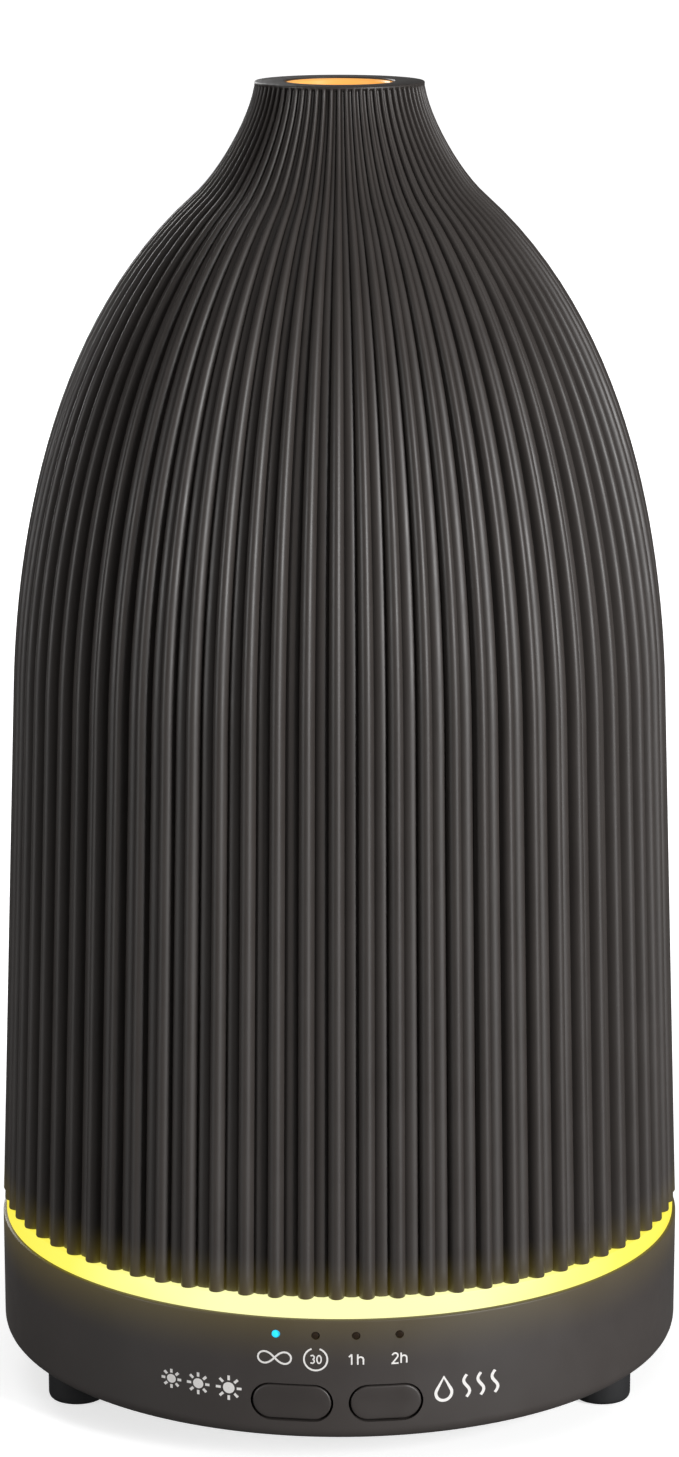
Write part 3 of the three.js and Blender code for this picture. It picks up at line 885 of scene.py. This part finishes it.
def window(node, lit):
    """A light pipe: a domed window in the wall on a thicker shank."""
    low, high = box_mm(node)
    centre = (low + high) / 2
    tip = low.y
    front = WINDOW_RADIUS + 0.07
    shank = WINDOW_RADIUS + 0.3
    step = -46.6  # where the shank starts, inside the wall
    corners = [
        (0, tip),
        (front - 0.2, tip + 0.01),
        (front, tip + 0.1),
        (front, step),
        (shank, step, 0.1),
        (shank, high.y, 0.1),
        (0, high.y),
    ]
    piece = placed(turned(f"{node}_window", corners, 32), centre.x, 0, centre.z, facing_y())
    slot = "lit_indicator" if lit else "dark_indicator"
    finish_piece(piece, "base", MATERIALS[slot], [node])


INK = 0.05  # how far printed marks stand off the wall
BOLD = 0.42
RAY = 0.36
FINE = 0.26


def printed(name, strokes):
    """Joins strokes, each a closed slab of (x, z) pairs in two rows, into one print on the wall."""
    vertices = []
    faces = []
    for left, right, closed in strokes:
        first = len(vertices)
        count = len(left)
        for depth in (0.02, -INK):
            vertices += [on_wall(x, z, depth) for x, z in left]
            vertices += [on_wall(x, z, depth) for x, z in right]
        steps = count if closed else count - 1
        for k in range(steps):
            n = (k + 1) % count
            a, b, c, d = (first + m for m in (k, n, count + n, count + k))
            top = 2 * count
            faces += [(a, b, c, d), (top + d, top + c, top + b, top + a)]
            faces += [(b, a, top + a, top + b), (d, c, top + c, top + d)]
        if not closed:
            for k, flip in ((0, False), (count - 1, True)):
                a, d = first + k, first + count + k
                quad = (a, d, 2 * count + d, 2 * count + a)
                faces.append(tuple(reversed(quad)) if flip else quad)
    piece = make_object(name, vertices, faces)
    face_outwards(piece)
    finish_piece(piece, "base", MATERIALS["print"], sharp=30)


def stroke(points, width, closed=False):
    """A line of even width through points, as its left and right sides."""
    left = []
    right = []
    count = len(points)
    for i, point in enumerate(points):
        before = points[i - 1] if closed or i else point
        after = points[(i + 1) % count] if closed or i < count - 1 else point
        along = (Vector(after) - Vector(before)).normalized()
        across = Vector((-along.y, along.x)) * width / 2
        left.append(tuple(Vector(point) + across))
        right.append(tuple(Vector(point) - across))
    return left, right, closed


def arc(x, z, radius, start, end, steps=24):
    points = []
    for k in range(steps + 1):
        dx, dz = polar(radius, start + (end - start) * k / steps)
        points.append((x + dx, z + dz))
    return points


def spot(x, z, radius):
    """A filled dot, as a ring with a pinhole middle."""
    return stroke(arc(x, z, radius * 0.52, 0, 360, 32)[:-1], radius * 0.96, True)


def sun(x, z, size):
    """A sun sign: a dot and eight rays."""
    marks = [spot(x, z, size * 0.45)]
    for i in range(8):
        inner = polar(size * 0.62, 45 * i)
        outer = polar(size, 45 * i)
        marks.append(stroke([(x + inner[0], z + inner[1]), (x + outer[0], z + outer[1])], RAY))
    return marks


def droplet(x, z, size):
    """A drop sign, drawn as one closed line."""
    points = arc(x, z - size * 0.3, size * 0.62, -215, 35, 20)
    points.append((x, z + size))
    return [stroke(points, BOLD, True)]


def wave(x, z, height):
    """One wavy line of rising mist."""
    points = []
    for k in range(17):
        share = k / 16
        points.append((x + 0.42 * math.sin(2 * math.pi * share), z + height * (share - 0.5)))
    return stroke(points, BOLD)


def endless(x, z, size):
    """An endless loop sign."""
    points = []
    for k in range(48):
        turn = 2 * math.pi * k / 48
        across = size * math.cos(turn) / (1 + math.sin(turn) ** 2)
        points.append((x + across, z + 1.05 * across * math.sin(turn)))
    return [stroke(points, FINE, True)]


def figure(sign, x, z, height, width):
    """A plain numeral or the hours sign, drawn with even strokes in a cell of the given height."""
    half = height / 2
    wide = height * 0.26
    if sign == "0":
        turns = [k * math.pi / 12 for k in range(24)]
        oval = [(x + wide * math.cos(turn), z + half * math.sin(turn)) for turn in turns]
        return [stroke(oval, width, True)]
    if sign == "1":
        lines = [[(x - wide, z + half * 0.5), (x + 0.02, z + half)], [(x, z + half), (x, z - half)]]
    elif sign == "2":
        bowl = arc(x, z + half - wide, wide, 165, -38, 12)
        end = wide + width / 2
        lines = [[*bowl, (x - wide, z - half)], [(x - end, z - half), (x + end, z - half)]]
    elif sign == "3":
        upper = arc(x, z + half * 0.5, half * 0.5, 140, -80, 10)
        lower = arc(x, z - half * 0.5, half * 0.5, 80, -140, 10)
        lines = [upper, lower]
    else:
        arch = arc(x, z - half * 0.05, wide, 160, 0, 10)
        lines = [[(x - wide, z + half), (x - wide, z - half)], [*arch, (x + wide, z - half)]]
    return [stroke(line, width) for line in lines]


def figures(signs, x, z, height, width):
    """A short row of figures, centred on x."""
    pitch = height * 0.82
    first = x - pitch * (len(signs) - 1) / 2
    strokes = []
    for i, sign in enumerate(signs):
        strokes += figure(sign, first + i * pitch, z, height, width)
    return strokes


def marks():
    """Generic signs beside the buttons and under the indicator row."""
    row = centre_mm("light_pipe_1").z - 3.45
    places = [centre_mm(node).x for node in WINDOWS]
    printed("mark_continuous", endless(places[0] - 0.2, row, 2.3))
    printed("mark_timer_ring", [stroke(arc(places[1], row, 1.62, 110, 430, 40), 0.24)])
    printed("mark_timer_half", figures("30", places[1], row, 1.15, 0.19))
    printed("mark_timer_one", figures("1h", places[2], row, 1.5, 0.22))
    printed("mark_timer_two", figures("2h", places[3], row, 1.5, 0.22))
    level = centre_mm("light_button").z + 1.4
    printed("mark_light", sun(-23.5, level, 1.4) + sun(-19.7, level, 1.6) + sun(-15.4, level, 1.8))
    rising = [wave(x, level, 3.3) for x in (17.7, 19.7, 21.7)]
    printed("mark_mist", droplet(14.5, level - 0.1, 1.8) + rising)


# ---- Inner parts keep their CAD shapes ----


def dress_inner_parts():
    """Gives each CAD node that still shows a procedural material from its record slot."""
    slots = {row["node"]: row["material_slot"] for row in frame["record"]["subparts"]}
    for name, node in frame["nodes"].items():
        node.data.materials.clear()
        node.data.materials.append(MATERIALS[slots[name]])


# ---- Stage ----

# Each light is (place, size, watts), in metres.
LIGHTS = {
    "key": ((0.9, -0.8, 0.36), (0.22, 0.7), 17),
    "fill": ((-1.2, -0.6, 0.2), (0.4, 0.7), 7.5),
    "overhead": ((0.25, -0.1, 1.4), (1.0, 1.0), 1.5),
    "back": ((-0.5, 1.2, 0.5), (0.5, 0.9), 9),
}
LIGHT_TARGET = Vector((0, 0, 0.1))
AMBIENT = 0.1
FLOOR_GLOW_WITH_PAINTED_SHADE = (0.68, 1.0)  # near the object and away from it; the lower glow near the object is painted shade that greys the floor under it
FLOOR_BOUNCE = 0.25


def studio_floor():
    """A pale floor, big enough to fill every view. It throws little light back at the object."""
    side = 4000
    corners = [(-side, -side, 0), (side, -side, 0), (side, side, 0), (-side, side, 0)]
    piece = make_object("studio_floor", corners, [(0, 1, 2, 3)])
    surface = Surface("floor_paint")
    seen = surface.node("ShaderNodeLightPath").outputs["Is Camera Ray"]
    cloud = surface.noise(3, 2)
    mottle = surface.span(cloud, 0.3, 0.7, 0.97, 1.0)
    tone = surface.math("MULTIPLY", mottle, surface.span(seen, 0, 1, FLOOR_BOUNCE, 0.8))
    surface.feed("Base Color", tone)
    away = surface.node("ShaderNodeVectorMath", operation="LENGTH")
    surface.link(surface.place, away.inputs[0])
    near, far = FLOOR_GLOW_WITH_PAINTED_SHADE
    # less emission near the object: painted shade under it
    glow = surface.math("MULTIPLY", seen, surface.span(away.outputs["Value"], 0.05, 0.18, near, far))
    surface.feed("Emission Strength", glow)
    surface.set(Roughness=0.9, Specular_IOR_Level=0.0, Emission_Color=(1, 1, 1, 1))
    piece.data.materials.append(surface.material)


def area_light(name, place, size, watts):
    """A soft, white, rectangular light, aimed at the object."""
    data = bpy.data.lights.new(name, "AREA")
    data.shape = "RECTANGLE"
    data.size, data.size_y = size
    data.energy = watts
    lamp = bpy.data.objects.new(name, data)
    lamp.location = place
    lamp.rotation_euler = (LIGHT_TARGET - Vector(place)).to_track_quat("-Z", "Y").to_euler()
    bpy.context.scene.collection.objects.link(lamp)


def studio_lights():
    for name, settings in LIGHTS.items():
        area_light(name, *settings)
    world = bpy.data.worlds.new("studio")
    bpy.context.scene.world = world
    world.use_nodes = True
    tree = world.node_tree
    backdrop = tree.nodes["Background"]
    backdrop.inputs["Color"].default_value = (1, 1, 1, 1)
    seen = tree.nodes.new("ShaderNodeLightPath").outputs["Is Camera Ray"]
    level = tree.nodes.new("ShaderNodeMapRange")
    level.inputs["To Min"].default_value = AMBIENT
    level.inputs["To Max"].default_value = 1.0
    tree.links.new(seen, level.inputs["Value"])
    tree.links.new(level.outputs["Result"], backdrop.inputs["Strength"])


def studio_camera():
    """Stands in front, a little higher than the object, looking 13 degrees down."""
    data = bpy.data.cameras.new("camera")
    data.sensor_width = 36
    data.lens = 102.3
    data.clip_end = 50
    camera = bpy.data.objects.new("camera", data)
    camera.location = (0, -0.5877, 0.2305)
    camera.rotation_euler = (math.radians(90 - 13.02), 0, 0)
    bpy.context.scene.collection.objects.link(camera)
    bpy.context.scene.camera = camera
    bpy.context.scene.view_settings.view_transform = "Standard"


# ---- Assembly ----

dress_inner_parts()
cover_shell()
outlet_lining()
lid_body()
tank_body()
base_housing()
bottom_plate()
glow_ring()
for foot in ("foot_front_left", "foot_front_right", "foot_rear"):
    rubber_foot(foot)
for number in range(1, 5):
    pan_screw(f"base_screw_{number}", 2.6, 1.2, 12)
for number in range(1, 4):
    pan_screw(f"retainer_screw_{number}", 1.9, 0.9, 6)
for button in BUTTONS:
    push_button(button)
for pipe in WINDOWS:
    window(pipe, pipe == WINDOWS[0])
marks()
studio_floor()
studio_lights()
studio_camera()
